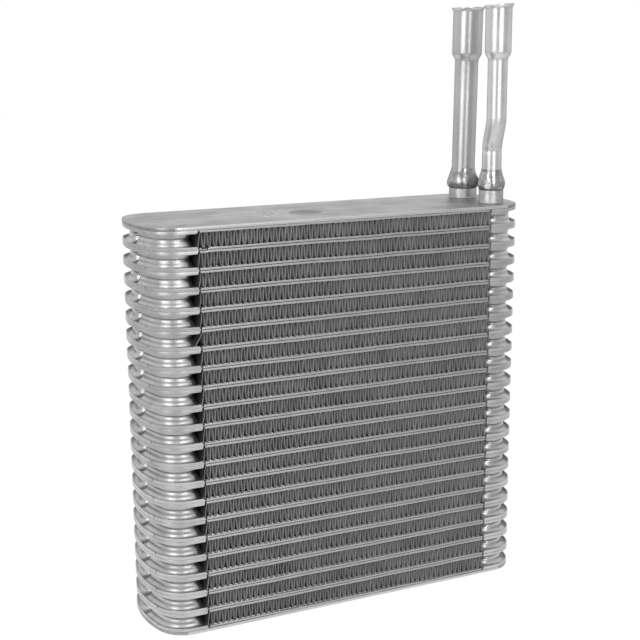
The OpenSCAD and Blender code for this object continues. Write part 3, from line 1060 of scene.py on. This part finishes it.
def end_plate_material():
    """Dull rolled plate with a scuffed patch, a dark dish and spot, and bright long edges."""
    n = Metal("rolled_plate")
    patches = n.mask(n.noise(26, 5), 0.35, 0.65)
    streaks = n.mask(n.noise(5, 4, (0.12, 1, 1)), 0.45, 0.7)
    scratches = n.mask(n.noise(1.6, 4, (1.0, 0.16, 1)), 0.5, 0.62)
    dish = n.region((DISH[0], DISH[1], CORE_H), DISH[2] * 1.08, 0.84)
    edge = n.mask(n.math("ABSOLUTE", n.axis("Y")), (HALF_D - 0.9) * MM, (HALF_D - 0.5) * MM)
    colour = n.mix(patches, grey(0.23), grey(0.37))
    colour = n.tint(colour, streaks, 0.4, 0.42)
    colour = n.tint(colour, n.math("MULTIPLY", scratches, n.region(*SCUFFS)), 0.75, 0.68)
    colour = n.tint(colour, dish, 0.95, 0.15)
    colour = n.tint(colour, n.region(*SPOT, 0.3), 0.7, 0.12)
    colour = n.tint(colour, edge, 0.8, 0.62)
    roughness = n.span(n.noise(6, 5, (0.3, 1, 1)), 0.3, 0.7, 0.34, 0.48)
    normal = n.bump(n.noise(9, 3), 0.3, 0.12)
    normal = n.bump(n.noise(0.6, 4, (0.2, 1, 1)), 0.25, 0.02, normal)
    return n.finish(colour, roughness, normal)


def pipe_material():
    """Drawn tube with fine lines along it. The front pipe is painted brighter than the back pipe, as painted
    light.
    """
    n = Metal("drawn_pipe")
    patches = n.mask(n.noise(22, 4), 0.35, 0.65)
    lines = n.mask(n.noise(0.9, 3, (1, 1, 0.02)), 0.4, 0.7)
    # Painted light: the front pipe is given a lighter grey than the back pipe.
    lit_front_pipe = n.mask(n.axis("Y"), 1.0 * MM, -1.0 * MM)
    rear_colour = n.mix(patches, grey(0.51), grey(0.59))
    colour = n.mix(lit_front_pipe, rear_colour, n.mix(patches, grey(0.64), grey(0.74)))
    colour = n.tint(colour, lines, 0.25, 0.44)
    roughness = n.span(n.noise(7, 4, (1, 1, 0.3)), 0.3, 0.7, 0.27, 0.38)
    normal = n.bump(n.noise(0.8, 3, (1, 1, 0.03)), 0.25, 0.02)
    normal = n.bump(n.noise(12, 2), 0.25, 0.15, normal)
    return n.finish(colour, roughness, normal, rim=0.5)


def ferrule_material():
    n = Metal("turned_ferrule")
    rings = n.mask(n.noise(0.5, 2, (0.02, 0.02, 1)), 0.35, 0.65)
    colour = n.mix(n.mask(n.noise(5, 4), 0.35, 0.65), grey(0.34), grey(0.46))
    roughness = n.span(n.noise(2, 4), 0.3, 0.7, 0.38, 0.5)
    return n.finish(colour, roughness, n.bump(rings, 0.3, 0.04), rim=0.6)


# The dark patch on the bead of the back pipe, on its side towards +X and -Y: (centre, radius)
DARK_PATCH = ((PORT_X + 6.0, PORT_Y - 8.5, CORE_H + REAR_FERRULE[1] + 3.5), 8.0)


def weld_material():
    n = Metal("weld_metal")
    colour = n.mix(n.mask(n.noise(4.5, 4), 0.42, 0.62), grey(0.28), grey(0.46))
    colour = n.tint(colour, n.region(*DARK_PATCH, 0.35), 0.9, 0.04)
    roughness = n.span(n.noise(3, 4), 0.35, 0.65, 0.2, 0.34)
    return n.finish(colour, roughness, n.bump(n.noise(6, 1.5), 0.25, 0.25), rim=0.6)


# Camera, light and floor

# The camera was fitted to the photograph, in degrees and millimetres
CAMERA_YAW = 25.39
CAMERA_PITCH = 12.37
CAMERA_ROLL = -0.344
CAMERA_AT = (-349.6, -726.6, 359.6)
CAMERA_LENS = 70.61
# The level directions ahead of the camera and to its right
AHEAD = (math.sin(math.radians(CAMERA_YAW)), math.cos(math.radians(CAMERA_YAW)))
ASIDE = (AHEAD[1], -AHEAD[0])
# The lamps and the floor are in metres. LAMP_AIM is the point that the lamps face.
LAMP_AIM = Vector((0, 0, 0.12))
FLOOR_HALF = 6.0
FLOOR_DROP = 0.0002
# How far in front of the part the lit sweep of the floor begins to widen
SWEEP_FRONT = 0.8


def add_camera():
    pitch, roll = math.radians(CAMERA_PITCH), math.radians(CAMERA_ROLL)
    forward = Vector((AHEAD[0] * math.cos(pitch), AHEAD[1] * math.cos(pitch), -math.sin(pitch)))
    right = Vector((*ASIDE, 0))
    up = right.cross(forward)
    right, up = right * math.cos(roll) + up * math.sin(roll), up * math.cos(roll) - right * math.sin(roll)
    data = bpy.data.cameras.new("camera")
    data.sensor_width = 36.0
    data.lens = CAMERA_LENS
    data.clip_start, data.clip_end = 0.01, 50.0
    camera = bpy.data.objects.new("camera", data)
    turn = Matrix((right, up, -forward)).transposed()
    camera.matrix_world = Matrix.Translation(Vector(CAMERA_AT) * MM) @ turn.to_4x4()
    bpy.context.scene.collection.objects.link(camera)
    bpy.context.scene.camera = camera


def add_softbox(name, azimuth, elevation, distance, size, radiance):
    """A rectangular lamp that faces the part, at a distance from LAMP_AIM.

    Azimuth 0 is the front and 90 the pipe end.
    """
    a, e = math.radians(azimuth), math.radians(elevation)
    back = Vector((math.sin(a) * math.cos(e), -math.cos(a) * math.cos(e), math.sin(e)))
    data = bpy.data.lights.new(name, "AREA")
    data.shape = "RECTANGLE"
    data.size, data.size_y = size
    data.energy = 4 * radiance * size[0] * size[1]
    lamp = bpy.data.objects.new(name, data)
    lamp.location = LAMP_AIM + back * distance
    lamp.rotation_mode = "QUATERNION"
    lamp.rotation_quaternion = (-back).to_track_quat("-Z", "Y")
    bpy.context.scene.collection.objects.link(lamp)


def add_light():
    # name, azimuth, elevation, distance, (width, height), radiance
    add_softbox("card_left", -62, 15, 0.95, (0.5, 0.44), 1.55)
    add_softbox("card_right", -1, 15, 0.95, (0.42, 0.44), 1.85)
    add_softbox("softbox_left", -66, 34, 1.05, (0.28, 0.22), 5.6)
    add_softbox("softbox_right", -5, 34, 1.05, (0.28, 0.22), 5.6)
    add_softbox("softbox_top", -20, 80, 1.2, (1.0, 0.8), 1.5)


def add_world():
    """A white studio, darker on the camera's side."""
    world = bpy.data.worlds.new("studio")
    bpy.context.scene.world = world
    n = Nodes(world)
    background = next(node for node in n.tree.nodes if node.type == "BACKGROUND")
    facing = n.vector("DOT_PRODUCT", n.coords("Generated"), (*AHEAD, 0.15))
    n.put(n.span(facing, -0.8, 0.3, 0.52, 1.0), background.inputs["Strength"])
    n.put((1, 1, 1, 1), background.inputs["Color"])


def floor_material():
    """A lit sweep to the camera and to what the metal mirrors, and plain matt to all other light.

    The glow of the sweep falls off at the sides and in front of the part.
    """
    material = bpy.data.materials.new("floor")
    n = Nodes(material)
    n.tree.nodes.clear()
    from_front = n.math("ADD", n.vector("DOT_PRODUCT", n.coords(), (*AHEAD, 0)), SWEEP_FRONT)
    aside = n.math("ABSOLUTE", n.vector("DOT_PRODUCT", n.coords(), (*ASIDE, 0)))
    along = n.span(from_front, 0.05, 0.55, 0.15, 0.75, interpolation_type="SMOOTHSTEP")
    spread = n.math("DIVIDE", aside, n.math("MAXIMUM", from_front, 0.01))
    across = n.span(spread, 0.33, 0.65, 0.75, 0.4, interpolation_type="SMOOTHSTEP")
    glow = n.node("ShaderNodeEmission", {"Strength": n.math("MINIMUM", along, across)})
    shaded = n.node("ShaderNodeBsdfDiffuse", {"Color": (0.3, 0.3, 0.3, 1)})
    sweep = n.node("ShaderNodeAddShader", {0: shaded.outputs[0], 1: glow.outputs[0]})
    matt = n.node("ShaderNodeBsdfDiffuse", {"Color": (0.75, 0.75, 0.75, 1)})
    ray = n.node("ShaderNodeLightPath").outputs
    seen = n.math("MAXIMUM", ray["Is Camera Ray"], ray["Is Glossy Ray"])
    seen = n.math("MAXIMUM", seen, ray["Is Transmission Ray"])
    mix = n.node("ShaderNodeMixShader", {0: seen, 1: matt.outputs[0], 2: sweep.outputs[0]})
    n.node("ShaderNodeOutputMaterial", {0: mix.outputs[0]})
    return material


def add_floor():
    """A pale floor with the core's soft shadow."""
    mesh = bpy.data.meshes.new("floor")
    corners = [(x * FLOOR_HALF, y * FLOOR_HALF, 0) for x, y in ((-1, -1), (1, -1), (1, 1), (-1, 1))]
    mesh.from_pydata(corners, [], [(0, 1, 2, 3)])
    floor = bpy.data.objects.new("floor", mesh)
    floor.location.z = -FLOOR_DROP
    bpy.context.scene.collection.objects.link(floor)
    mesh.materials.append(floor_material())


add_camera()
add_world()
add_floor()
add_light()
stamping_pieces(stamping_material())
fin_metal = fin_material()
for fin_row, fin_name in enumerate(fin_names, 1):
    fin_piece(fin_row, fin_name, fin_metal)
end_plate_pieces(end_plate_material())
turned_metal = ferrule_material()
ferrule_piece("rear_ferrule", (PORT_X, PORT_Y), REAR_FERRULE, REAR_SPIGOT_R, REAR_PIPE_R, turned_metal)
ferrule_piece("front_ferrule", (PORT_X, -PORT_Y), FRONT_FERRULE, FRONT_SPIGOT_R, FRONT_PIPE_R, turned_metal)
weld = weld_material()
bead_piece("rear_weld_bead", (PORT_X, PORT_Y), REAR_BEAD_R, REAR_FERRULE, REAR_PIPE_R, weld, 5.0)
bead_piece("front_weld_bead", (PORT_X, -PORT_Y), FRONT_BEAD_R, FRONT_FERRULE, FRONT_PIPE_R, weld, 21.0)
pipe_pieces(pipe_material())

scene = bpy.context.scene
scene.view_settings.view_transform = "Standard"
